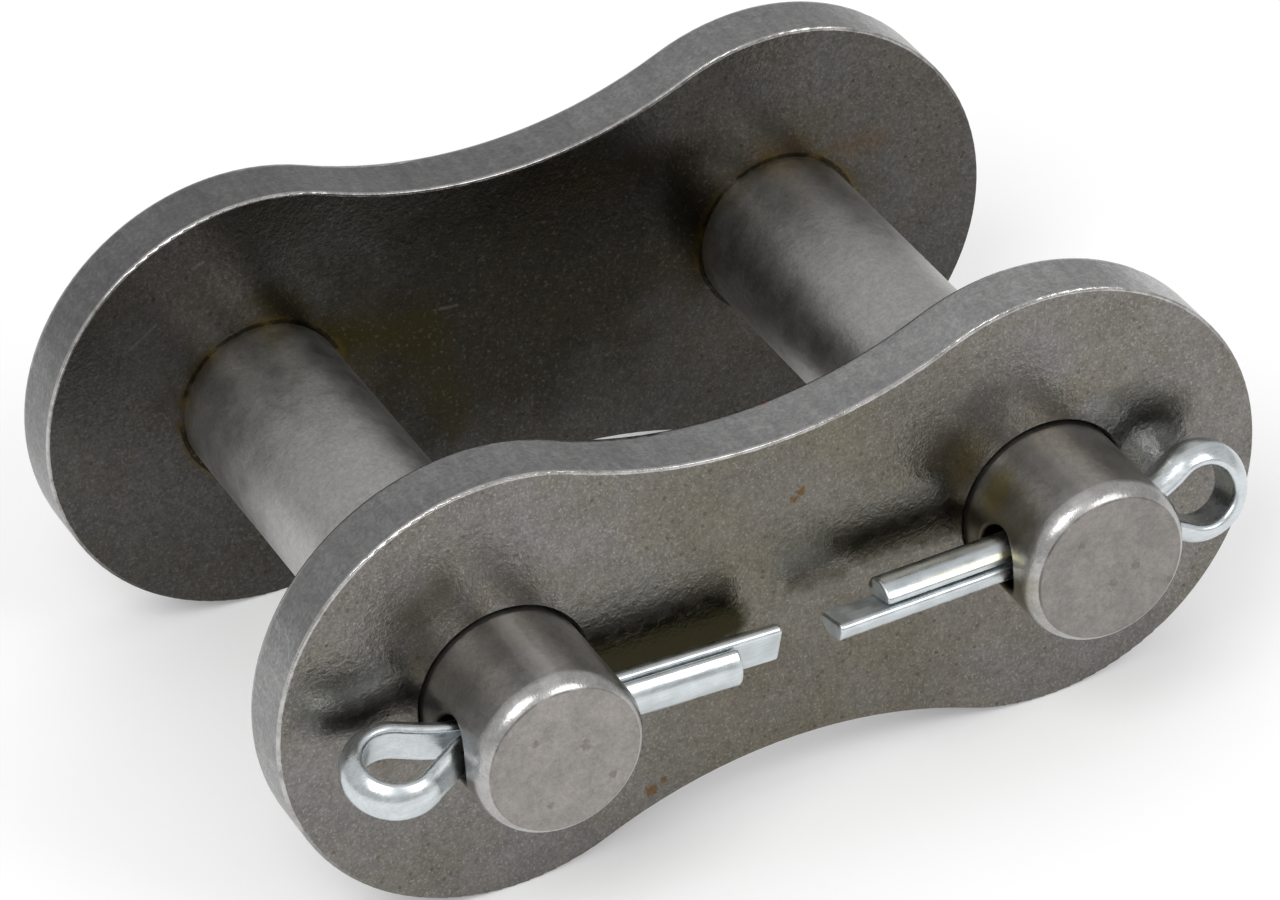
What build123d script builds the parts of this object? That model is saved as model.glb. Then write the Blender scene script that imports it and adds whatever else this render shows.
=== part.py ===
"""Cottered connecting link of a heavy roller chain.

Two pins are riveted into a rear plate. A cover plate slips over their free ends,
and a split cotter through each pin keeps it there.

X runs along the pitch, Y from the cotters through to the riveted pin ends, Z up.
The link stands on the round lower edges of its two plates. The origin is on the
ground, midway between the pins and midway between the two ends of the pins.
All lengths are in millimetres, all angles in degrees.
"""

import math
import os
from dataclasses import dataclass

from build123d import *

# Chain
pitch = 31.75
pin_diameter = 9.53
inner_width = 26.79  # between the inner faces of the two plates

# Plates
plate_thickness = 4.0
plate_height = 25.68  # diameter of the round lobes
waist_height = 19.16  # height of the plate midway between its pins
punched_edge_radius = 0.92  # the outer edge that punching drew round, on the +Y faces
worn_edge_radius = 0.12  # the outer edge that punching left sharp, on the -Y faces
cover_hole_clearance = 0.08  # slip fit of the cover plate on the pins, on the radius
cover_hole_edge = 0.15  # chamfer at the mouths of the cover plate's holes

# Pins
pin_rim_depth = 1.05  # rounded rim of the free end, along the pin
pin_rim_width = 0.55  # and across it
cotter_hole_to_end = 3.77  # from the cross hole's axis to the free end
cotter_hole_edge = 0.2  # rounding at the mouths of the cross hole
rivet_height = 0.95  # riveted head standing behind the rear plate
rivet_swell = 0.5  # how far the head is upset past the pin's wall
rivet_shoulder = 0.9  # radial width of the head's rounded edge
rivet_dish = 0.25  # depth of the dish that riveting leaves in the end

# Cotters, bent from half-round wire with the flat side inwards
wire_width = 2.66  # across the flat
wire_thickness = 1.22  # from the flat to the top of the round side
wire_edge_radius = 0.3  # between the flat and the round side
leg_gap = 0.1  # between the flats of the two legs
eye_radius = 1.65  # inside the eye, to the flat of the wire
leg_tip_edge = 0.18  # rounding of the cut leg ends
cotter_hole_clearance = 0.47  # beside the legs, on the radius
cotter_set = 0.2  # how far the cotters lie off the holes' axes, towards the cover plate
seat_gap = 0.04  # left where a cotter bears on the mouth of its hole
eye_to_cover = 0.52  # between the nearer eye and the cover plate, at least
long_leg_gap = 2.75  # between the tips of the two long legs, midway between the pins


@dataclass(frozen=True)
class ArmBend:
    """How one arm of a cotter was bent and cut."""

    neck_radius: float  # bend between the leg and the run to the eye, at the flat
    mouth_gap: float  # between the run's outer side and the mouth of the cross hole
    leg_cut: float  # how much shorter this leg is than the longest


@dataclass(frozen=True)
class CotterShape:
    """How one cotter was bent and how it sits in its pin."""

    eye_side: int  # -1 when the eye points along -X, +1 when it points along +X
    turn: float  # how far the eye's upper arm is turned from upright towards the cover
    droop_share: float  # share of the free play by which the leg tips hang down
    eye_stand_off: float  # from the pin's wall to the middle of the eye
    eye_lean: float  # how far the eye sits towards the upper arm
    upper: ArmBend
    lower: ArmBend


left_shape = CotterShape(
    eye_side=-1,
    turn=74.0,
    droop_share=1.0,
    eye_stand_off=3.16,
    eye_lean=-0.33,
    upper=ArmBend(neck_radius=7.0, mouth_gap=0.21, leg_cut=0.1),
    lower=ArmBend(neck_radius=3.0, mouth_gap=0.27, leg_cut=2.9),
)
right_shape = CotterShape(
    eye_side=1,
    turn=13.5,
    droop_share=0.2,
    eye_stand_off=2.75,
    eye_lean=-0.16,
    upper=ArmBend(neck_radius=7.0, mouth_gap=0.46, leg_cut=2.9),
    lower=ArmBend(neck_radius=4.0, mouth_gap=0.19, leg_cut=0.0),
)

# Sizes that follow
pin_radius = pin_diameter / 2
lobe_radius = plate_height / 2
eye_outer_radius = eye_radius + wire_thickness
longest_leg = (pitch - long_leg_gap) / 2
cotter_hole_radius = wire_width / 2 + cotter_hole_clearance
wire_arc_radius = (wire_width**2 / 4 + wire_thickness**2) / (2 * wire_thickness)
lower_arc_height = wire_arc_radius - wire_thickness - leg_gap / 2  # its centre, from the cotter's axis


def eye_depth(shape):
    """How far a cotter's eye can reach from the cotter's axis towards the cover plate."""
    wire_reach = max(wire_thickness, wire_width / 2)
    return (eye_radius + shape.eye_lean) * math.sin(math.radians(shape.turn)) + wire_reach


cotter_to_end = cotter_hole_to_end + cotter_set
cotter_to_cover = max(eye_depth(left_shape), eye_depth(right_shape)) + eye_to_cover
overall_depth = (
    cotter_to_end + cotter_to_cover + 2 * plate_thickness + inner_width + rivet_height
)

# Places along Y, and the height of the pins' axes
pin_front = -overall_depth / 2
hole_y = pin_front + cotter_hole_to_end
cotter_y = pin_front + cotter_to_end
cover_outer = cotter_y + cotter_to_cover
cover_inner = cover_outer + plate_thickness
rear_inner = cover_inner + inner_width
rear_outer = rear_inner + plate_thickness
rivet_end = rear_outer + rivet_height
axis_height = lobe_radius


def plate_outline():
    """The outline of both plates: two round lobes joined by a drawn-in waist."""
    half_waist = waist_height / 2
    waist_radius = (pitch**2 / 4 + half_waist**2 - lobe_radius**2) / (
        2 * (lobe_radius - half_waist)
    )
    share = lobe_radius / (lobe_radius + waist_radius)
    join_x = pitch / 2 * (1 - share)
    join_z = (half_waist + waist_radius) * share
    lobe_end = pitch / 2 + lobe_radius
    upper_waist = ThreePointArc((-join_x, join_z), (0, half_waist), (join_x, join_z))
    right_lobe = ThreePointArc((join_x, join_z), (lobe_end, 0), (join_x, -join_z))
    lower_waist = ThreePointArc((join_x, -join_z), (0, -half_waist), (-join_x, -join_z))
    left_lobe = ThreePointArc((-join_x, -join_z), (-lobe_end, 0), (-join_x, join_z))
    return make_face(upper_waist + right_lobe + lower_waist + left_lobe)


def plate(near_y, hole_radius):
    """A punched plate whose near face is at near_y, with a hole for each pin."""
    outline = plate_outline() - GridLocations(pitch, 0, 2, 1) * Circle(hole_radius)
    near_plane = Plane(origin=(0, near_y, axis_height), x_dir=(1, 0, 0), z_dir=(0, -1, 0))
    solid = extrude(near_plane * outline, amount=-plate_thickness)
    far_face = solid.faces().sort_by(Axis.Y)[-1]
    solid = fillet(far_face.outer_wire().edges(), punched_edge_radius)
    near_face = solid.faces().sort_by(Axis.Y)[0]
    return fillet(near_face.outer_wire().edges(), worn_edge_radius)


def cover_plate():
    """The cover plate, with its hole mouths chamfered so that it slips over the pins."""
    solid = plate(cover_outer, pin_radius + cover_hole_clearance)
    faces = solid.faces().sort_by(Axis.Y)
    mouths = [wire.edges() for face in (faces[0], faces[-1]) for wire in face.inner_wires()]
    return chamfer([edge for edges in mouths for edge in edges], cover_hole_edge)


def pin(x):
    """A pin at x: rounded free end, cross hole for its cotter, riveted rear end."""
    free_face = pin_radius - pin_rim_width
    head_radius = pin_radius + rivet_swell
    head_face = head_radius - rivet_shoulder
    rim_start = (pin_radius, pin_front + pin_rim_depth)
    rim = TangentArc(rim_start, (free_face, pin_front), tangent=(0, -1))
    shoulder = TangentArc((head_radius, rear_outer), (head_face, rivet_end), tangent=(0, 1))
    dish = TangentArc((0, rivet_end - rivet_dish), (head_face, rivet_end), tangent=(1, 0))
    walls = [
        Line((0, pin_front), (free_face, pin_front)),
        rim,
        Line(rim_start, (pin_radius, rear_outer)),
        Line((pin_radius, rear_outer), (head_radius, rear_outer)),
        shoulder,
        dish,
        Line((0, rivet_end - rivet_dish), (0, pin_front)),
    ]
    profile = make_face(walls)
    axis_point = Location((x, 0, axis_height))
    body = axis_point * revolve(profile, Axis.Y)
    hole_plane = Plane(origin=(x, hole_y, axis_height), x_dir=(0, 1, 0), z_dir=(1, 0, 0))
    hole = extrude(hole_plane * Circle(cotter_hole_radius), amount=pin_diameter, both=True)
    drilled = body - hole
    return fillet(hole_mouths(drilled, x), cotter_hole_edge)


def hole_mouths(drilled, x):
    """The edges where the cross hole meets the pin's wall."""
    wall = drilled.faces().filter_by(GeomType.CYLINDER).sort_by(SortBy.AREA)[0]
    return [edge for edge in wall.edges() if abs(edge.center().X - x) > pin_radius / 2]


def mouth_reach(side, shape):
    """From a cotter's axis to the wall of its hole, on the side of one arm."""
    nearer = side * math.sin(math.radians(shape.turn)) * cotter_set
    return math.sqrt(cotter_hole_radius**2 - cotter_set**2 + nearer**2) - nearer


def arm(side, bend, shape):
    """One arm of a cotter, and where it joins the eye: its leg, its neck, its run to the eye.

    The outer side of the run is tangent to the outer side of the eye, and passes the
    mouth of the cross hole at the gap that the bend gives.
    """
    reach = mouth_reach(side, shape)
    reach_up = reach * math.cos(math.radians(shape.turn))
    mouth_depth = math.sqrt(pin_radius**2 - reach_up**2)
    mouth_height = reach - bend.mouth_gap
    eye_centre = -pin_radius - shape.eye_stand_off
    lean = side * shape.eye_lean

    out_to_eye = -eye_centre - mouth_depth
    up_to_eye = lean - mouth_height
    distance = math.hypot(out_to_eye, up_to_eye)
    slope = math.atan2(up_to_eye, out_to_eye) + math.asin(eye_outer_radius / distance)
    join = (eye_centre + eye_radius * math.sin(slope), lean + eye_radius * math.cos(slope))

    leg_height = leg_gap / 2
    corner = join[0] + (join[1] - leg_height) / math.tan(slope)
    half_bend = bend.neck_radius * math.tan(slope / 2)
    neck_start = (corner + half_bend, side * leg_height)
    neck_end = (
        corner - half_bend * math.cos(slope),
        side * (leg_height + half_bend * math.sin(slope)),
    )
    run_end = (join[0], side * join[1])
    leg_tip = (longest_leg - bend.leg_cut, side * leg_height)
    leg = Line(leg_tip, neck_start)
    neck = TangentArc(neck_start, neck_end, tangent=(-1, 0))
    return [leg, neck, Line(neck_end, run_end)], run_end


def wire_section():
    """The section of the cotters' wire, with its flat on the X axis."""
    round_side = ThreePointArc((-wire_width / 2, 0), (0, wire_thickness), (wire_width / 2, 0))
    flat_side = Line((wire_width / 2, 0), (-wire_width / 2, 0))
    section = make_face(round_side + flat_side)
    return fillet(section.vertices(), wire_edge_radius)


def cotter(pin_x, shape):
    """A split cotter lying in the cross hole of the pin at pin_x."""
    upper, upper_end = arm(1, shape.upper, shape)
    lower, lower_end = arm(-1, shape.lower, shape)
    eye_end = (-pin_radius - shape.eye_stand_off - eye_radius, shape.eye_lean)
    eye = ThreePointArc(upper_end, eye_end, lower_end)
    path = Wire([*upper, eye, *reversed(lower)])

    upper_tip = longest_leg - shape.upper.leg_cut
    start = Plane(origin=(upper_tip, leg_gap / 2, 0), x_dir=(0, 0, 1), z_dir=(-1, 0, 0))
    wire = sweep(start * wire_section(), path=path)
    cut_faces = [
        face
        for face in wire.faces().filter_by(GeomType.PLANE)
        if face.normal_at().X > 0.9
    ]
    cut_edges = [edge for face in cut_faces for edge in face.edges()]
    return seat_plane(pin_x, shape).location * fillet(cut_edges, leg_tip_edge)


def free_droop():
    """How much lower a cotter can lie at the far mouth of its hole than at the near one.

    The arc of its lower leg's round side bears on the far mouth.
    """
    slack = cotter_hole_radius - seat_gap - wire_arc_radius
    return math.sqrt(slack**2 - cotter_set**2) + lower_arc_height


def seat_plane(pin_x, shape):
    """The plane of a cotter's eye: x from the eye to the leg tips, y towards the upper arm."""
    droop = shape.droop_share * math.asin(free_droop() / pin_diameter)
    mouth_x = pin_x + shape.eye_side * pin_radius
    along = Vector(-shape.eye_side * math.cos(droop), 0, -math.sin(droop))
    turn = math.radians(shape.turn)
    upper = Vector(0, math.sin(turn), math.cos(turn))
    mouth = Vector(mouth_x, cotter_y, axis_height)
    return Plane(origin=mouth + along * pin_radius, x_dir=along, z_dir=along.cross(upper))


def rear_plate():
    """The rear plate, with the pins pressed in line to line."""
    return plate(rear_inner, pin_radius)


def main():
    os.makedirs("parts", exist_ok=True)
    left = -pitch / 2
    right = pitch / 2
    nodes = {
        "rear_plate": rear_plate(),
        "left_pin": pin(left),
        "right_pin": pin(right),
        "cover_plate": cover_plate(),
        "left_cotter": cotter(left, left_shape),
        "right_cotter": cotter(right, right_shape),
    }
    for name, solid in nodes.items():
        export_step(solid, f"parts/{name}.step")


main()
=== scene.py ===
import math

import bpy
from mathutils import Matrix, Vector

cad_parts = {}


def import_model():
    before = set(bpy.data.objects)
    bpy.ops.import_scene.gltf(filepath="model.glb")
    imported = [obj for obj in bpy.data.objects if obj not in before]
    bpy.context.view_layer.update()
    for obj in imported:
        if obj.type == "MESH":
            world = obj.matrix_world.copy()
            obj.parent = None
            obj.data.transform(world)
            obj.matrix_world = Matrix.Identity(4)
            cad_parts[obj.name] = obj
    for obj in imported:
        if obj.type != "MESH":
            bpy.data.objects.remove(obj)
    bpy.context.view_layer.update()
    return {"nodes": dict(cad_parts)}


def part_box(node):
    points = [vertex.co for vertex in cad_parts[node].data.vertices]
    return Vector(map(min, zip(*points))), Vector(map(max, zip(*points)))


# A cottered connecting link of a roller chain on a pale floor.
# Blender works in metres. Materials work in millimetres, measured in the link's own frame.

MM = 0.001

# Sizes that the boxes of the pieces don't give, in millimetres
WAIST_HALF_HEIGHT = 9.58
PIN_END_FACE_RADIUS = 4.215
COTTER_HOLE_RADIUS = 1.8
COTTER_HOLE_TO_END = 3.77

# How far the cotters lie off the holes' axes, towards the cover plate, in millimetres
COTTER_SET = 0.2

# How far each cotter is turned about its legs, in degrees from upright
LEFT_COTTER_TURN = 74.0
RIGHT_COTTER_TURN = 13.5

# The floor: half its width in metres, and how much it glows to the camera and in reflections
FLOOR_HALF_SIZE = 3.0
FLOOR_GLOW = 0.2

# The photograph's camera: place in millimetres, view direction, roll and lens
CAMERA_PLACE = (-124.72, -279.42, 225.54)
VIEW_DIRECTION = (0.33297, 0.75154, -0.56949)
CAMERA_ROLL = -4.45
LENS = 194.66
SENSOR_WIDTH = 36.0

# Base colours of the metals
SCALE_GREY = (0.182, 0.174, 0.168)
SCALE_BROWN = (0.176, 0.164, 0.143)
SCALE_FLECK = (0.42, 0.41, 0.39)
SCALE_PIT = (0.07, 0.06, 0.05)
PUNCHED_STEEL = (0.24, 0.238, 0.237)
# The worn edge's colour, which also serves as its painted highlight
WORN_AND_LIT_STEEL = (0.5, 0.49, 0.48)
GROUND_STEEL = (0.42, 0.414, 0.406)
# The colour of the painted highlight streak on the pins
HIGHLIGHT_STEEL = (0.72, 0.71, 0.7)
CUT_STEEL = (0.295, 0.276, 0.26)
RIVETED_STEEL = (0.31, 0.298, 0.284)
DRILLED_STEEL = (0.25, 0.25, 0.25)
ZINC = (0.63, 0.672, 0.69)

# How much a wholly stained pin's end face is darkened
END_FACE_STAIN = 0.12

# Marks lie at x, z places in millimetres.
# A dark smear on the cover plate, painted shade and reflection of the cotters and pins beside it,
# partly oil: start, end, half width, softness and strength
COVER_SHADE_SMEARS = (
    ((-10.6, 12.3), (-3.6, 12.3), 1.6, 1.1, 0.97),
    ((5.2, 14.0), (12.4, 13.4), 1.0, 1.1, 0.7),
    ((0.9, 13.1), (3.6, 12.8), 0.5, 0.8, 0.5),
    ((-25.6, 14.2), (-20.4, 13.8), 0.6, 0.8, 0.22),
    ((20.9, 16.9), (23.8, 15.9), 1.2, 1.2, 0.38),
    ((12.6, 20.0), (10.9, 16.6), 1.5, 1.2, 0.35),
)
# The dark olive tone of the smears of painted shade and reflection
COVER_SHADE_TONE = (0.024, 0.021, 0.009)

# A brown patch of painted shade up and to the left of a pin on the cover plate: start and end
COVER_SHADE_PATCHES = (((-20.3, 19.4), (-19.0, 20.2)), ((9.2, 18.2), (10.6, 18.6)))

# A rust spot on the cover plate: x, z and radius
COVER_RUST = ((1.2, 18.4, 0.3), (1.65, 18.75, 0.3), (-8.11, 3.11, 0.42), (-7.4, 3.5, 0.25))

# Dried oil and rust on the rear plate: start, end, half width, strength and tone
REAR_SMEARS = (
    ((-15.4, 19.0), (-11.6, 15.2), 0.9, 0.75, (0.034, 0.028, 0.01)),
    ((-11.6, 15.2), (-5.7, 13.9), 1.1, 0.7, (0.046, 0.038, 0.011)),
    ((-6.4, 12.8), (-4.6, 7.4), 1.1, 0.6, (0.038, 0.034, 0.012)),
    ((10.4, 19.8), (11.1, 12.2), 1.3, 0.8, (0.022, 0.018, 0.01)),
    ((2.8, 20.2), (7.7, 20.1), 0.9, 0.5, (0.05, 0.036, 0.018)),
    ((11.3, 12.2), (9.3, 13.0), 0.5, 0.5, (0.06, 0.045, 0.02)),
    ((15.2, 18.5), (18.6, 18.1), 0.4, 0.6, (0.09, 0.055, 0.02)),
    ((20.0, 16.9), (22.4, 16.8), 0.35, 0.45, (0.1, 0.06, 0.025)),
)

# A scratch on the rear plate: start and end
REAR_SCRATCHES = (
    ((-23.2, 18.8), (-21.6, 19.8)),
    ((-19.1, 22.6), (-18.5, 22.8)),
    ((-5.0, 15.0), (-4.0, 14.9)),
)

# A dent in a pin's end face: x, z and radius
LEFT_DENTS = ((-14.7, 13.3, 0.42), (-17.4, 14.4, 0.3), (-13.3, 10.9, 0.32), (-16.9, 10.3, 0.25))
RIGHT_DENTS = ((17.4, 12.5, 0.36), (16.0, 11.7, 0.44), (19.4, 10.8, 0.3), (14.2, 14.9, 0.25))


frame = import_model()


def box_mm(node):
    """A node's lowest and highest corners in millimetres."""
    low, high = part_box(node)
    return Vector(low) / MM, Vector(high) / MM


COVER_LOW, COVER_HIGH = box_mm("cover_plate")
REAR_LOW, REAR_HIGH = box_mm("rear_plate")
LOBE_RADIUS = (COVER_HIGH.z - COVER_LOW.z) / 2
HALF_PITCH = COVER_HIGH.x - LOBE_RADIUS
AXIS_HEIGHT = LOBE_RADIUS
PIN_FRONT = box_mm("left_pin")[0].y


class Surface:
    """A node material on a Principled shader, built up one value at a time.

    x, y, z are the place on the object in millimetres, and nx, ny, nz its normal.
    The methods that compute something give a socket, and take sockets or plain numbers.
    """

    def __init__(self, name, **constants):
        self.material = bpy.data.materials.new(name)
        self.material.use_nodes = True
        self.tree = self.material.node_tree
        self.shader = self.tree.nodes["Principled BSDF"]
        for socket, value in constants.items():
            self.shader.inputs[socket.replace("_", " ")].default_value = value
        coordinates = self.add("ShaderNodeTexCoord")
        self.place = self.scaled(coordinates.outputs["Object"], 1 / MM)
        self.x, self.y, self.z = self.split(self.place)
        self.nx, self.ny, self.nz = self.split(coordinates.outputs["Normal"])

    def add(self, kind, **settings):
        """A new node with its settings."""
        node = self.tree.nodes.new(kind)
        for key, value in settings.items():
            setattr(node, key, value)
        return node

    def feed(self, socket, value):
        """Link a socket to an input, or write a plain value into it."""
        if isinstance(value, bpy.types.NodeSocket):
            self.tree.links.new(value, socket)
        else:
            socket.default_value = value

    def split(self, vector):
        node = self.add("ShaderNodeSeparateXYZ")
        self.feed(node.inputs[0], vector)
        return node.outputs

    def join(self, x, y, z):
        node = self.add("ShaderNodeCombineXYZ")
        for socket, value in zip(node.inputs, (x, y, z)):
            self.feed(socket, value)
        return node.outputs[0]

    def scaled(self, vector, factor):
        node = self.add("ShaderNodeVectorMath", operation="SCALE")
        self.feed(node.inputs[0], vector)
        self.feed(node.inputs["Scale"], factor)
        return node.outputs[0]

    def calc(self, operation, first, second=0.0):
        node = self.add("ShaderNodeMath", operation=operation)
        self.feed(node.inputs[0], first)
        self.feed(node.inputs[1], second)
        return node.outputs[0]

    def plus(self, first, second):
        return self.calc("ADD", first, second)

    def minus(self, first, second):
        return self.calc("SUBTRACT", first, second)

    def times(self, first, second):
        return self.calc("MULTIPLY", first, second)

    def size_of(self, value):
        """A value without its sign."""
        return self.calc("ABSOLUTE", value)

    def length(self, first, second):
        """Length of the hypotenuse over two sides."""
        return self.calc("SQRT", self.plus(self.times(first, first), self.times(second, second)))

    def step(self, value, start, end, low=0.0, high=1.0):
        """Smooth change from low to high while value goes from start to end."""
        node = self.add("ShaderNodeMapRange", interpolation_type="SMOOTHSTEP")
        limits = (value, start, end, low, high)
        for name, item in zip(("Value", "From Min", "From Max", "To Min", "To Max"), limits):
            self.feed(node.inputs[name], item)
        return node.outputs[0]

    def band(self, value, low, high, soft):
        """1 between low and high, falling to 0 over the width soft outside them."""
        rise = self.step(value, low - soft, low)
        fall = self.step(value, high, high + soft, 1.0, 0.0)
        return self.times(rise, fall)

    def faces_front(self):
        """1 where the surface looks to the cotters' side, which is -Y, and 0 elsewhere."""
        return self.step(self.ny, -0.6, -0.8)

    def faces_back(self):
        """1 where the surface looks to the riveted heads' side, which is +Y, and 0 elsewhere."""
        return self.step(self.ny, 0.6, 0.8)

    def noise(self, size, detail=2.0, roughness=0.5, seed=0.0, stretch=(1, 1, 1)):
        """Noise from 0 to 1 whose blobs are about size millimetres across."""
        mapping = self.add("ShaderNodeMapping")
        self.feed(mapping.inputs["Vector"], self.place)
        mapping.inputs["Location"].default_value = (seed, seed * 1.7, seed * 0.6)
        mapping.inputs["Scale"].default_value = [1 / (size * share) for share in stretch]
        node = self.add("ShaderNodeTexNoise")
        self.feed(node.inputs["Vector"], mapping.outputs[0])
        for name, value in (("Scale", 1.0), ("Detail", detail), ("Roughness", roughness)):
            node.inputs[name].default_value = value
        return node.outputs["Fac"]

    def cells(self, size, seed=0.0):
        """Distance to the nearest of scattered points about size millimetres apart."""
        mapping = self.add("ShaderNodeMapping")
        self.feed(mapping.inputs["Vector"], self.place)
        mapping.inputs["Location"].default_value = (seed, seed, seed)
        mapping.inputs["Scale"].default_value = [1 / size] * 3
        node = self.add("ShaderNodeTexVoronoi")
        self.feed(node.inputs["Vector"], mapping.outputs[0])
        node.inputs["Scale"].default_value = 1.0
        return node.outputs["Distance"]

    def mix(self, share, first, second, blend="MIX"):
        """The first colour, going over to the second as share goes from 0 to 1."""
        node = self.add("ShaderNodeMix", data_type="RGBA", blend_type=blend)
        self.feed(node.inputs["Factor"], share)
        for socket, colour in ((node.inputs[6], first), (node.inputs[7], second)):
            self.feed(socket, colour if isinstance(colour, bpy.types.NodeSocket) else (*colour, 1.0))
        return node.outputs[2]

    def paint(self, colour, where, strength, tone):
        """A colour with a tone laid over it where a mask says, at most at the given strength."""
        return self.mix(self.times(where, strength), colour, tone)

    def shaded(self, colour, factor):
        """A colour made darker or lighter by a factor."""
        grey = self.join(factor, factor, factor)
        return self.mix(1.0, colour, grey, blend="MULTIPLY")

    def spot(self, x, z, radius):
        """A ragged spot at x, z on a face that looks along Y: 1 inside, 0 outside."""
        cloud = self.noise(radius * 0.7, detail=3.0, roughness=0.7, seed=x)
        distance = self.length(self.minus(self.x, x), self.minus(self.z, z))
        distance = self.plus(distance, self.times(self.minus(cloud, 0.5), radius * 2.6))
        return self.step(distance, radius * 0.5, radius, 1.0, 0.0)

    def from_line(self, start, end):
        """Distance from the straight line between two x, z places."""
        run_x, run_z = end[0] - start[0], end[1] - start[1]
        length = math.hypot(run_x, run_z)
        along_x, along_z = run_x / length, run_z / length
        from_x, from_z = self.minus(self.x, start[0]), self.minus(self.z, start[1])
        along = self.plus(self.times(from_x, along_x), self.times(from_z, along_z))
        held = self.calc("MINIMUM", self.calc("MAXIMUM", along, 0.0), length)
        across_x = self.minus(from_x, self.times(held, along_x))
        across_z = self.minus(from_z, self.times(held, along_z))
        return self.length(across_x, across_z)

    def scratch(self, start, end, half_width):
        """A thin straight mark between two x, z places on a face that looks along Y."""
        return self.step(self.from_line(start, end), half_width * 0.3, half_width, 1.0, 0.0)

    def smear(self, start, end, half_width, soft):
        """A ragged smear along a line between two x, z places, fading over the width soft."""
        cloud = self.noise(soft * 0.9, detail=4.0, roughness=0.65, seed=start[0])
        distance = self.plus(self.from_line(start, end), self.times(self.minus(cloud, 0.5), soft * 1.6))
        return self.step(distance, half_width - soft / 2, half_width + soft / 2, 1.0, 0.0)

    def finish(self, colour, roughness, height, depth):
        """Connect colour and roughness, and a bump whose height runs over depth millimetres."""
        self.feed(self.shader.inputs["Base Color"], colour)
        self.feed(self.shader.inputs["Roughness"], roughness)
        bump = self.add("ShaderNodeBump")
        bump.inputs["Distance"].default_value = depth * MM
        self.feed(bump.inputs["Height"], height)
        self.feed(self.shader.inputs["Normal"], bump.outputs["Normal"])
        return self.material


def pin_distance(surface):
    """Distance from the nearer pin's axis."""
    from_axis = surface.minus(surface.size_of(surface.x), HALF_PITCH)
    return surface.length(from_axis, surface.minus(surface.z, AXIS_HEIGHT))


def outline_distance(surface):
    """How far a place on a plate lies inside its outline of lobes and waist arcs."""
    waist_radius = (HALF_PITCH**2 + WAIST_HALF_HEIGHT**2 - LOBE_RADIUS**2) / (
        2 * (LOBE_RADIUS - WAIST_HALF_HEIGHT)
    )
    waist_centre = WAIST_HALF_HEIGHT + waist_radius
    join_x = HALF_PITCH * (1 - LOBE_RADIUS / (LOBE_RADIUS + waist_radius))
    in_lobe = surface.minus(LOBE_RADIUS, pin_distance(surface))
    below_centre = surface.minus(
        surface.size_of(surface.minus(surface.z, AXIS_HEIGHT)), waist_centre
    )
    in_waist = surface.minus(surface.length(surface.x, below_centre), waist_radius)
    at_lobe = surface.calc("GREATER_THAN", surface.size_of(surface.x), join_x)
    return surface.plus(
        surface.times(in_lobe, at_lobe), surface.times(in_waist, surface.minus(1.0, at_lobe))
    )


def steel_grain(s, seed):
    """Grain of scaled steel: factor on the colour, and a height for the bump."""
    fine = s.noise(0.2, detail=2.0, roughness=0.6, seed=seed)
    coarse = s.noise(0.55, detail=3.0, roughness=0.65, seed=seed + 3)
    patches = s.noise(3.2, detail=3.0, roughness=0.6, seed=seed + 7)
    factor = s.times(s.step(fine, 0.3, 0.7, 0.86, 1.14), s.step(coarse, 0.25, 0.75, 0.88, 1.12))
    factor = s.times(factor, s.step(patches, 0.3, 0.7, 0.94, 1.06))
    height = s.plus(s.times(fine, 0.5), coarse)
    return factor, height


def scaled_face(s, grain, seed):
    """The flat faces of a plate: grey-brown scale with pale flecks and dark pits."""
    tint = s.noise(6.0, detail=3.0, roughness=0.6, seed=seed + 11)
    colour = s.mix(s.step(tint, 0.35, 0.65), SCALE_GREY, SCALE_BROWN)
    colour = s.shaded(colour, grain)
    flecks = s.step(s.noise(0.14, detail=1.0, seed=seed + 17), 0.6, 0.7)
    pits = s.times(s.step(s.cells(0.75, seed + 2), 0.12, 0.2, 1.0, 0.0), s.step(tint, 0.4, 0.55))
    colour = s.paint(colour, flecks, 0.36, SCALE_FLECK)
    return s.paint(colour, pits, 0.5, SCALE_PIT)


def punched_wall(s, grain, seed, wall_painted_light):
    """The punched wall of a plate, lighter than its faces and drawn in lines across its thickness, with
    painted light that grows brighter towards the right.
    """
    drawn = s.noise(0.5, detail=3.0, seed=seed + 23, stretch=(1, 8, 1))
    # Painted light: the wall grows brighter towards the right; the drawn lines are the wall's own
    light_and_drawn_tone = s.times(s.step(s.x, -12.0, 16.0, *wall_painted_light), s.step(drawn, 0.25, 0.75, 0.9, 1.08))
    return s.shaded(PUNCHED_STEEL, s.times(grain, light_and_drawn_tone))


def worn_and_highlit_edge(s, near_y, seed):
    """Where the near face's edge is worn and catches the light: a soft bright line, part wear and part
    painted highlight, that dies out towards the bottom.
    """
    # Painted highlight: the line is strong along the upper edges and gone towards the bottom
    highlit_top = s.step(s.minus(s.z, s.times(s.x, 0.25)), 8.0, 19.0)
    uneven = s.step(s.noise(0.9, detail=4.0, roughness=0.7, seed=seed + 31), 0.3, 0.62, 0.35, 1.0)
    reach = s.plus(0.12, s.times(s.noise(0.4, detail=3.0, roughness=0.7, seed=seed + 29), 0.12))
    near = s.step(s.y, near_y + 0.12, near_y + 0.2, 1.0, 0.0)
    at_edge = s.times(s.calc("LESS_THAN", outline_distance(s), reach), near)
    return s.times(at_edge, s.times(highlit_top, uneven))


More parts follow.
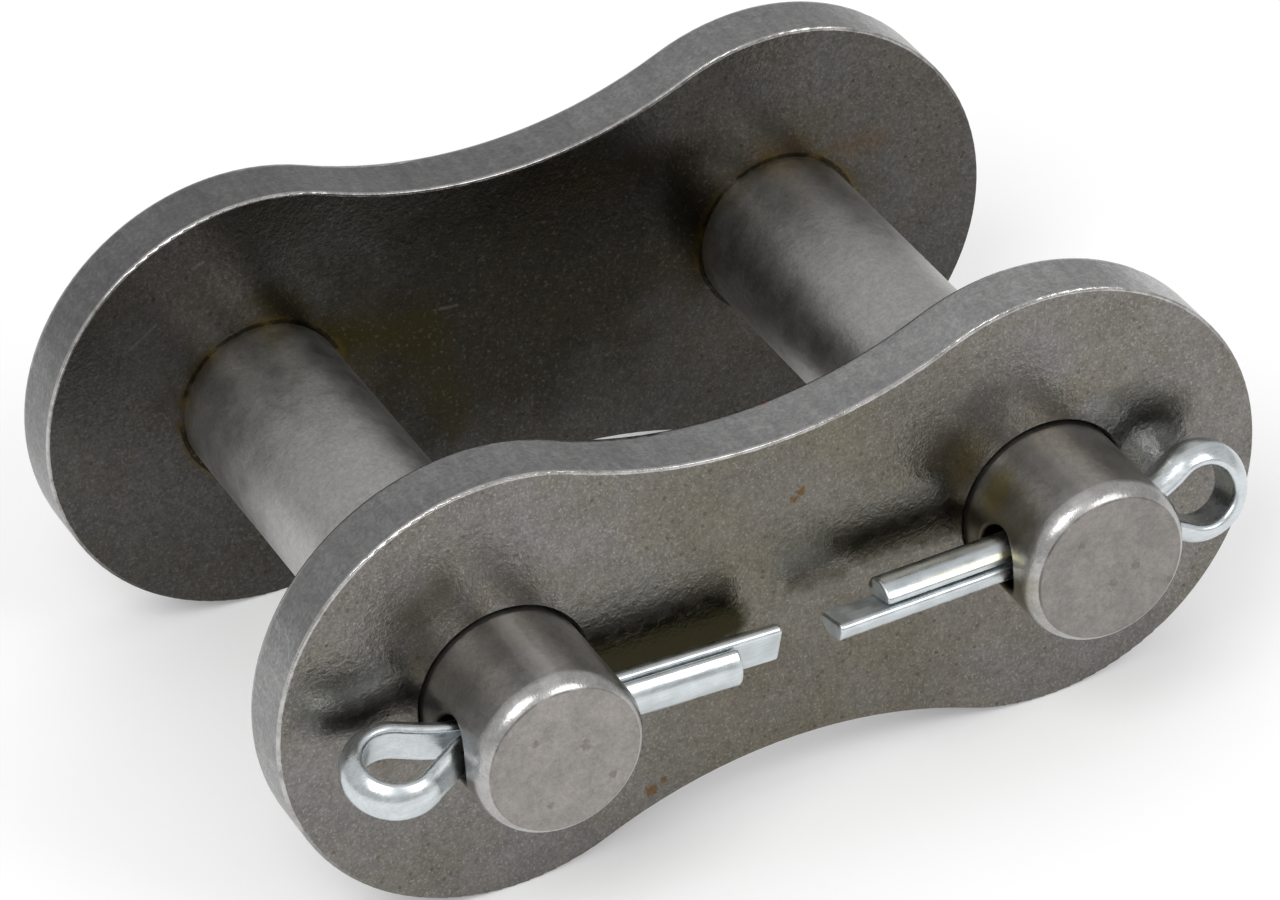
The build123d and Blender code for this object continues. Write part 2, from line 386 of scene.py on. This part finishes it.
def plate_material(name, near_y, seed, wall_painted_light, relief, marks):
    """Dark heat-treated steel with a lighter punched wall and a bright edge, part wear and part painted
    highlight.

    near_y is where the plate's near face lies.
    wall_painted_light says how bright the wall is at the left and at the right: painted light, brighter
    to the right.
    relief is the height of the grain in millimetres.
    marks adds what only one of the plates shows.
    """
    s = Surface(name, Metallic=1.0)
    grain, height = steel_grain(s, seed)
    on_wall = s.step(s.size_of(s.ny), 0.35, 0.6, 1.0, 0.0)
    colour = s.mix(on_wall, scaled_face(s, grain, seed), punched_wall(s, grain, seed, wall_painted_light))
    roughness = s.step(grain, 0.75, 1.25, 0.26, 0.2)
    roughness = s.plus(roughness, s.times(on_wall, 0.06))
    colour, roughness = marks(s, colour, roughness)
    # The worn edge with its painted highlight
    colour = s.mix(worn_and_highlit_edge(s, near_y, seed), colour, WORN_AND_LIT_STEEL)
    return s.finish(colour, roughness, height, relief)


def cover_marks(s, colour, roughness):
    """Warm oil round the pins, and on the outer face an olive tint, smears that are partly oil and
    partly painted shade and reflection of the cotters and pins, brown patches of painted shade, and
    rust.
    """
    film = s.step(pin_distance(s), 5.0, 9.0, 1.0, 0.0)
    film = s.times(film, s.step(s.noise(2.5, detail=3.0, seed=5.5), 0.42, 0.62))
    colour = s.paint(colour, film, 0.3, (0.14, 0.115, 0.07))
    on_face = s.faces_front()
    olive = s.times(s.step(s.size_of(s.minus(s.x, 1.0)), 14.0, 4.0), on_face)
    colour = s.mix(olive, colour, (0.85, 0.83, 0.75), blend="MULTIPLY")
    # Smears of painted shade and reflection beside the cotters and pins, partly oil
    for start, end, half_width, soft, strength in COVER_SHADE_SMEARS:
        smear = s.times(s.smear(start, end, half_width, soft), on_face)
        colour = s.paint(colour, smear, strength, COVER_SHADE_TONE)
    # Brown patches of painted shade and reflection up and to the left of the pins
    for start, end in COVER_SHADE_PATCHES:
        shade_patch = s.times(s.smear(start, end, 0.8, 1.8), on_face)
        colour = s.paint(colour, shade_patch, 0.5, (0.08, 0.066, 0.048))
    for x, z, radius in COVER_RUST:
        rust = s.times(s.spot(x, z, radius), on_face)
        colour = s.paint(colour, rust, 0.8, (0.15, 0.08, 0.025))
        roughness = s.plus(roughness, s.times(rust, 0.2))
    return red_speck(s, colour), roughness


def red_speck(s, colour):
    """One red speck on the top of the cover plate's wall."""
    from_speck = s.length(s.minus(s.x, 1.38), s.minus(s.y, COVER_LOW.y + 3.35))
    speck = s.times(s.step(from_speck, 0.2, 0.1), s.step(s.nz, 0.6, 0.8))
    return s.paint(colour, speck, 0.8, (0.5, 0.09, 0.04))


def rear_marks(s, colour, roughness):
    """The rear plate: painted shade on its inner face, darker towards the bottom, with oil there,
    stained and bruised round the pins.
    """
    on_face = s.faces_front()
    # Painted shade between the plates: the inner face is darkened, most towards the bottom
    shade = s.step(s.z, 3.0, 13.0, 0.38, 0.5)
    colour = s.shaded(colour, s.plus(shade, s.times(s.minus(1.0, on_face), s.minus(1.0, shade))))
    colour = rear_oil_and_shade(s, colour, on_face)
    colour = rear_pin_stains(s, colour)
    for start, end in REAR_SCRATCHES:
        scratch = s.times(s.scratch(start, end, 0.14), on_face)
        colour = s.paint(colour, scratch, 0.13, (0.4, 0.4, 0.4))
    dust = s.step(s.noise(0.24, detail=2.0, roughness=0.65, seed=4.5), 0.56, 0.74)
    colour = s.paint(colour, s.times(dust, on_face), 0.3, (0.19, 0.18, 0.17))
    return riveted_bruises(s, colour), roughness


def rear_oil_and_shade(s, colour, on_face):
    """Oil and painted shade in the middle of the inner face, oil that crept out at the pins, and dried
    smears.
    """
    # The dark middle of the inner face is oil and painted shade together
    cloud = s.noise(5.0, detail=4.0, roughness=0.6, seed=12.5)
    from_middle = s.length(s.times(s.minus(s.x, -0.5), 0.07), s.times(s.minus(s.z, 14.5), 0.1))
    oil = s.step(s.plus(from_middle, s.times(s.minus(cloud, 0.5), 0.9)), 0.5, 1.2, 1.0, 0.0)
    colour = s.mix(s.times(oil, on_face), colour, (0.42, 0.4, 0.33), blend="MULTIPLY")
    near_pin = s.step(pin_distance(s), 4.9, 9.5, 1.0, 0.0)
    creep = s.times(near_pin, s.step(s.noise(3.0, detail=4.0, roughness=0.65, seed=2.5), 0.4, 0.62))
    colour = s.paint(colour, creep, 0.5, (0.06, 0.05, 0.024))
    for start, end, half_width, strength, tone in REAR_SMEARS:
        smear = s.times(s.smear(start, end, half_width, 2.4), on_face)
        colour = s.paint(colour, smear, strength, tone)
    return colour


def rear_pin_stains(s, colour):
    """A brown ring round each pin, and a dark seam where the pin enters the rear plate."""
    ring = s.step(pin_distance(s), 4.95, 5.5, 1.0, 0.0)
    ring = s.times(ring, s.step(s.noise(1.6, detail=3.0, seed=8.5), 0.38, 0.6))
    colour = s.paint(colour, ring, 0.7, (0.1, 0.07, 0.018))
    seam = s.band(pin_distance(s), 4.7, 5.0, 0.08)
    seam = s.times(seam, s.step(s.noise(2.4, detail=2.0, seed=9.5), 0.4, 0.5))
    return s.paint(colour, seam, 0.8, (0.015, 0.013, 0.01))


def riveted_bruises(s, colour):
    """The far face round the riveted heads: a dark seam with painted shade at the head's foot, in a
    bruised ring.
    """
    on_back = s.faces_back()
    bruise = s.step(pin_distance(s), 5.5, 6.6, 1.0, 0.0)
    bruise = s.times(s.times(bruise, on_back), s.step(s.noise(1.2, detail=3.0, seed=6.5), 0.35, 0.6))
    colour = s.paint(colour, bruise, 0.45, (0.11, 0.098, 0.08))
    # A dark seam at the head's foot that is also painted shade round the raised head
    joint_and_shade = s.times(s.step(pin_distance(s), 5.3, 5.45, 1.0, 0.0), on_back)
    return s.paint(colour, joint_and_shade, 0.7, (0.03, 0.027, 0.022))


class PinSurface(Surface):
    """A pin's material, with the grain and the zones that several of its parts use.

    from_axis is how far a place lies to the right of the pin's axis.
    grain is the factor that fine, specks and cloudy give together.
    on_stub is 1 where the pin sticks out of the cover plate, and on_end on its free end face.
    stain_share says how rusty and oily the cross hole is.
    """

    def __init__(self, name, side, seed, stain_share):
        super().__init__(name, Metallic=1.0)
        self.seed = seed
        self.stain_share = stain_share
        self.from_axis = self.minus(self.x, side * HALF_PITCH)
        self.fine = self.noise(0.14, detail=2.0, seed=seed)
        self.specks = self.noise(0.35, detail=3.0, roughness=0.7, seed=seed + 3)
        self.cloudy = self.noise(1.7, detail=4.0, roughness=0.6, seed=seed + 5)
        fine_tone = self.step(self.fine, 0.25, 0.75, 0.92, 1.08)
        grain = self.times(fine_tone, self.step(self.specks, 0.3, 0.7, 0.89, 1.08))
        self.grain = self.times(grain, self.step(self.cloudy, 0.3, 0.7, 0.94, 1.05))
        self.on_stub = self.step(self.y, COVER_LOW.y + 0.2, COVER_LOW.y - 0.1)
        self.on_end = self.step(self.y, PIN_FRONT + 0.06, PIN_FRONT + 0.02)


def pin_wall(s, highlight_at):
    """Ground steel, with a painted highlight streak along the top of the free end, and oil at the
    plate.
    """
    colour = s.shaded(GROUND_STEEL, s.grain)
    ragged = s.times(s.minus(s.noise(0.8, detail=3.0, seed=s.seed + 21, stretch=(1, 3, 1)), 0.5), 0.8)
    # Painted highlight: a light streak along the top of the free end
    highlight_streak = s.band(s.plus(s.from_axis, ragged), highlight_at - 0.35, highlight_at + 0.35, 0.5)
    highlight_streak = s.times(s.times(highlight_streak, s.on_stub), s.step(s.z, AXIS_HEIGHT, AXIS_HEIGHT + 2.0))
    colour = s.paint(colour, highlight_streak, 0.34, HIGHLIGHT_STEEL)
    seam = s.band(s.plus(s.y, s.times(s.specks, 0.2)), COVER_LOW.y - 0.02, COVER_LOW.y + 0.2, 0.1)
    return s.paint(colour, seam, 0.5, (0.06, 0.055, 0.04))


def pin_end(s, dented):
    """The cut end face: paler and warmer than the wall, mottled, with dents."""
    mottling = s.noise(1.3, detail=4.0, roughness=0.6, seed=s.seed + 13)
    colour = s.shaded(CUT_STEEL, s.times(s.grain, s.step(mottling, 0.3, 0.7, 0.88, 1.07)))
    colour = s.shaded(colour, 1.0 - END_FACE_STAIN * s.stain_share)
    return s.paint(colour, dented, 0.5, (0.13, 0.112, 0.085))


def rim_crease_shade(s, colour):
    """Painted shade: a thin dark line, broken here and there, in the crease along the upper left rim of
    the end face.
    """
    # Painted shade in the crease between the rim and the end face, on its upper left only
    shaded_crease = s.band(pin_distance(s), PIN_END_FACE_RADIUS - 0.05, PIN_END_FACE_RADIUS + 0.03, 0.05)
    shaded_crease = s.times(shaded_crease, s.step(s.y, PIN_FRONT + 0.3, PIN_FRONT + 0.2))
    upper_left = s.step(s.minus(s.minus(s.z, AXIS_HEIGHT), s.from_axis), 1.0, 4.0)
    broken = s.step(s.noise(1.6, detail=2.0, seed=s.seed + 15), 0.4, 0.6)
    where = s.times(s.times(shaded_crease, upper_left), s.times(broken, 0.6))
    return s.mix(where, colour, (0.09, 0.08, 0.075))


def cross_hole(s, colour):
    """The inside of the cross hole, with rust and old oil at its mouths, and painted shade round its
    lip.
    """
    hole_y = PIN_FRONT + COTTER_HOLE_TO_END
    from_hole = s.length(s.minus(s.y, hole_y), s.minus(s.z, AXIS_HEIGHT))
    in_hole = s.step(from_hole, COTTER_HOLE_RADIUS + 0.2, COTTER_HOLE_RADIUS + 0.02)
    rust = s.mix(s.step(s.cloudy, 0.35, 0.6), (0.09, 0.06, 0.02), (0.2, 0.12, 0.03))
    colour = s.mix(in_hole, colour, s.mix(s.stain_share, DRILLED_STEEL, rust))
    oil = s.step(s.plus(from_hole, s.times(s.minus(s.cloudy, 0.5), 3.0)), 2.2, 4.4, 1.0, 0.0)
    oil = s.times(s.times(oil, s.on_stub), s.minus(1.0, s.calc("MAXIMUM", in_hole, s.on_end)))
    colour = s.paint(colour, oil, 0.5 * s.stain_share, (0.26, 0.22, 0.1))
    colour = yellow_stain(s, colour)
    # Painted shade: a dark ring round the hole's lip
    lip_shade = s.band(from_hole, COTTER_HOLE_RADIUS + 0.02, COTTER_HOLE_RADIUS + 0.2, 0.06)
    lip_shade = s.times(lip_shade, s.on_stub)
    return s.paint(colour, lip_shade, s.minus(0.6, s.times(s.on_end, 0.6)), (0.07, 0.06, 0.045))


def yellow_stain(s, colour):
    """Yellow dried oil on the upper left of a stained pin's free end."""
    from_stain = s.length(s.minus(s.y, COVER_LOW.y - 1.6), s.minus(s.z, AXIS_HEIGHT + 2.95))
    yellow = s.step(s.plus(from_stain, s.times(s.minus(s.specks, 0.5), 1.2)), 1.3, 0.5)
    yellow = s.times(yellow, s.step(s.from_axis, -0.5, -1.5))
    return s.paint(colour, yellow, 0.5 * s.stain_share, (0.42, 0.35, 0.07))


def rear_end(s, colour, blows, on_head):
    """Oil stains where the pin enters the rear plate, and its hammered riveted head."""
    to_rear = s.minus(REAR_LOW.y, s.y)
    creep = s.plus(to_rear, s.times(s.noise(1.3, detail=3.0, seed=s.seed + 19), 3.0))
    stain = s.step(creep, 1.3, 3.2, 1.0, 0.0)
    colour = s.paint(colour, stain, 0.5, (0.16, 0.12, 0.05))
    head = s.shaded(RIVETED_STEEL, s.times(s.grain, s.step(blows, 0.0, 1.0, 0.86, 1.06)))
    return s.mix(on_head, colour, head)


def pin_material(name, side, seed, highlight_at, stain_share, dents):
    """Ground and tumbled pin steel, with a paler mottled end face.

    side is -1 for the left pin and 1 for the right one.
    highlight_at is how far the painted highlight streak lies to the right of the pin's axis.
    stain_share says how rusty and oily the cross hole is.
    dents are the x, z places and radii of the marks on the end face.
    """
    s = PinSurface(name, side, seed, stain_share)
    dented = 0.0
    for x, z, radius in dents:
        dented = s.calc("MAXIMUM", dented, s.spot(x, z, radius))
    on_head = s.step(s.y, REAR_HIGH.y, REAR_HIGH.y + 0.08)
    blows = s.times(s.step(s.cells(1.1, seed + 25), 0.1, 0.5), on_head)
    colour = s.mix(s.on_end, pin_wall(s, highlight_at), pin_end(s, dented))
    colour = rim_crease_shade(s, colour)
    colour = cross_hole(s, colour)
    colour = rear_end(s, colour, blows, on_head)

    # The rounded rim is polished brighter than the ground wall
    on_rim = s.times(s.step(s.y, PIN_FRONT + 0.75, PIN_FRONT + 0.45), s.minus(1.0, s.on_end))
    roughness = s.minus(s.step(s.cloudy, 0.3, 0.7, 0.36, 0.42), s.times(s.on_stub, 0.05))
    roughness = s.minus(roughness, s.times(on_rim, 0.08))
    height = s.plus(s.times(s.fine, 0.4), s.minus(s.plus(s.specks, s.cloudy), s.times(dented, 0.6)))
    height = s.plus(height, blows)
    return s.finish(colour, roughness, height, 0.012)


def cotter_material(name, seed, turn, marks=None):
    """Bright zinc plating on drawn half-round wire, duller on the legs' flats and cut tips.

    turn is how far the cotter is turned about its legs, in degrees from upright.
    marks, where it is given, adds what only one of the cotters shows.
    """
    s = Surface(name, Metallic=1.0)
    drawn = s.noise(0.13, detail=2.0, seed=seed, stretch=(14, 1, 1))
    cloudy = s.noise(1.1, detail=3.0, seed=seed + 4)
    factor = s.times(s.step(drawn, 0.3, 0.7, 0.92, 1.04), s.step(cloudy, 0.3, 0.7, 0.88, 1.05))
    colour = s.shaded(ZINC, factor)

    # The flats lie near the split between the legs and face square across it
    up_y, up_z = math.sin(math.radians(turn)), math.cos(math.radians(turn))
    facing = s.size_of(s.plus(s.times(s.ny, up_y), s.times(s.nz, up_z)))
    from_legs_y = s.minus(s.y, PIN_FRONT + COTTER_HOLE_TO_END + COTTER_SET)
    from_legs_z = s.minus(s.z, AXIS_HEIGHT)
    from_split = s.plus(s.times(from_legs_y, up_y), s.times(from_legs_z, up_z))
    flat = s.times(s.step(facing, 0.96, 0.99), s.step(s.size_of(from_split), 0.9, 0.6))
    cut = s.times(s.step(s.size_of(s.nx), 0.9, 0.97), s.step(s.size_of(s.x), 12.0, 10.0))
    dull = s.calc("MAXIMUM", flat, cut)
    roughness = s.plus(s.step(cloudy, 0.3, 0.7, 0.22, 0.34), s.times(s.minus(drawn, 0.5), 0.08))
    roughness = s.plus(roughness, s.times(dull, 0.26))
    if marks:
        colour = marks(s, colour, from_split)
    return s.finish(colour, roughness, s.plus(drawn, cloudy), 0.005)


def right_cotter_marks(s, colour, from_split):
    """A yellow film along the short leg's near side, and rust on the corner of its cut tip."""
    near_side = s.step(s.y, -18.0, -18.3)
    line = s.times(s.band(s.x, 7.5, 12.0, 1.5), s.band(from_split, 0.4, 0.6, 0.12))
    colour = s.paint(colour, s.times(line, near_side), 0.45, (0.78, 0.76, 0.36))
    tip_x, tip_y, tip_z = 4.28, -16.4, 13.35
    from_corner = s.length(s.minus(s.x, tip_x), s.length(s.minus(s.y, tip_y), s.minus(s.z, tip_z)))
    rust = s.step(from_corner, 0.5, 0.3)
    return s.paint(colour, rust, 0.8, (0.2, 0.07, 0.02))


def assign(node, material):
    """Give a piece one material in all its slots."""
    slots = frame["nodes"][node].data.materials
    slots.clear()
    slots.append(material)


def dress_plates():
    cover = plate_material(
        "cover_plate_steel",
        near_y=COVER_LOW.y,
        seed=1.0,
        wall_painted_light=(0.97, 1.4),
        relief=0.03,
        marks=cover_marks,
    )
    rear = plate_material(
        "rear_plate_steel",
        near_y=REAR_LOW.y,
        seed=60.0,
        wall_painted_light=(0.7, 1.06),
        relief=0.016,
        marks=rear_marks,
    )
    assign("cover_plate", cover)
    assign("rear_plate", rear)


def dress_pins():
    left = pin_material(
        "left_pin_steel", side=-1, seed=3.0, highlight_at=-0.2, stain_share=0.0, dents=LEFT_DENTS
    )
    right = pin_material(
        "right_pin_steel", side=1, seed=40.0, highlight_at=-1.2, stain_share=1.0, dents=RIGHT_DENTS
    )
    assign("left_pin", left)
    assign("right_pin", right)


def dress_cotters():
    left = cotter_material("left_cotter_zinc", seed=2.0, turn=LEFT_COTTER_TURN)
    right = cotter_material(
        "right_cotter_zinc", seed=30.0, turn=RIGHT_COTTER_TURN, marks=right_cotter_marks
    )
    assign("left_cotter", left)
    assign("right_cotter", right)


def floor():
    """A pale floor. To the camera and in reflections it is a little brighter than the lamps make it."""
    half = FLOOR_HALF_SIZE
    corners = [(-half, -half, 0), (half, -half, 0), (half, half, 0), (-half, half, 0)]
    mesh = bpy.data.meshes.new("floor")
    mesh.from_pydata(corners, [], [(0, 1, 2, 3)])
    floor_object = bpy.data.objects.new("floor", mesh)
    bpy.context.collection.objects.link(floor_object)

    material = bpy.data.materials.new("floor")
    material.use_nodes = True
    nodes, links = material.node_tree.nodes, material.node_tree.links
    shader = nodes["Principled BSDF"]
    shader.inputs["Base Color"].default_value = (0.86, 0.86, 0.86, 1)
    shader.inputs["Roughness"].default_value = 0.9
    shader.inputs["Specular IOR Level"].default_value = 0.1
    shader.inputs["Emission Color"].default_value = (1, 1, 1, 1)
    path = nodes.new("ShaderNodeLightPath")
    seen = nodes.new("ShaderNodeMath")
    seen.operation = "MAXIMUM"
    links.new(path.outputs["Is Camera Ray"], seen.inputs[0])
    links.new(path.outputs["Is Glossy Ray"], seen.inputs[1])
    glow = nodes.new("ShaderNodeMath")
    glow.operation = "MULTIPLY"
    glow.inputs[1].default_value = FLOOR_GLOW
    links.new(seen.outputs[0], glow.inputs[0])
    links.new(glow.outputs[0], shader.inputs["Emission Strength"])
    mesh.materials.append(material)


def world():
    """A white studio: bright overhead, greyer towards the horizon."""
    background = bpy.data.worlds.new("studio")
    bpy.context.scene.world = background
    background.use_nodes = True
    nodes, links = background.node_tree.nodes, background.node_tree.links
    shader = nodes["Background"]
    coordinates = nodes.new("ShaderNodeTexCoord")
    split = nodes.new("ShaderNodeSeparateXYZ")
    ramp = nodes.new("ShaderNodeValToRGB")
    links.new(coordinates.outputs["Generated"], split.inputs[0])
    links.new(split.outputs[2], ramp.inputs[0])
    ramp.color_ramp.elements[0].position = 0.0
    ramp.color_ramp.elements[0].color = (0.7, 0.7, 0.7, 1)
    ramp.color_ramp.elements[1].position = 0.8
    ramp.color_ramp.elements[1].color = (0.9, 0.9, 0.9, 1)
    links.new(ramp.outputs[0], shader.inputs["Color"])
    shader.inputs["Strength"].default_value = 0.8


def lamp(name, place, target, size, power):
    """A square soft box at place, facing target. Both are in millimetres."""
    light = bpy.data.lights.new(name, "AREA")
    light.shape = "SQUARE"
    light.size = size * MM
    light.energy = power
    holder = bpy.data.objects.new(name, light)
    start, end = Vector(place) * MM, Vector(target) * MM
    holder.location = start
    holder.rotation_euler = (end - start).to_track_quat("-Z", "Y").to_euler()
    bpy.context.collection.objects.link(holder)


def lamps():
    middle = (0, 0, AXIS_HEIGHT)
    lamp("key", place=(-260, -240, 420), target=middle, size=260, power=1.0)
    lamp("fill", place=(240, -380, 380), target=middle, size=240, power=0.6)


def camera():
    """The photograph's camera, as fitted to it."""
    data = bpy.data.cameras.new("camera")
    data.lens = LENS
    data.sensor_width = SENSOR_WIDTH
    data.sensor_fit = "HORIZONTAL"
    data.clip_start = 0.01
    data.clip_end = 20.0
    holder = bpy.data.objects.new("camera", data)
    aim = Vector(VIEW_DIRECTION).to_track_quat("-Z", "Y").to_matrix()
    roll = Matrix.Rotation(math.radians(CAMERA_ROLL), 3, "Z")
    holder.rotation_euler = (aim @ roll).to_euler()
    holder.location = Vector(CAMERA_PLACE) * MM
    bpy.context.collection.objects.link(holder)
    bpy.context.scene.camera = holder


bpy.context.scene.view_settings.view_transform = "Standard"
dress_plates()
dress_pins()
dress_cotters()
floor()
world()
lamps()
camera()
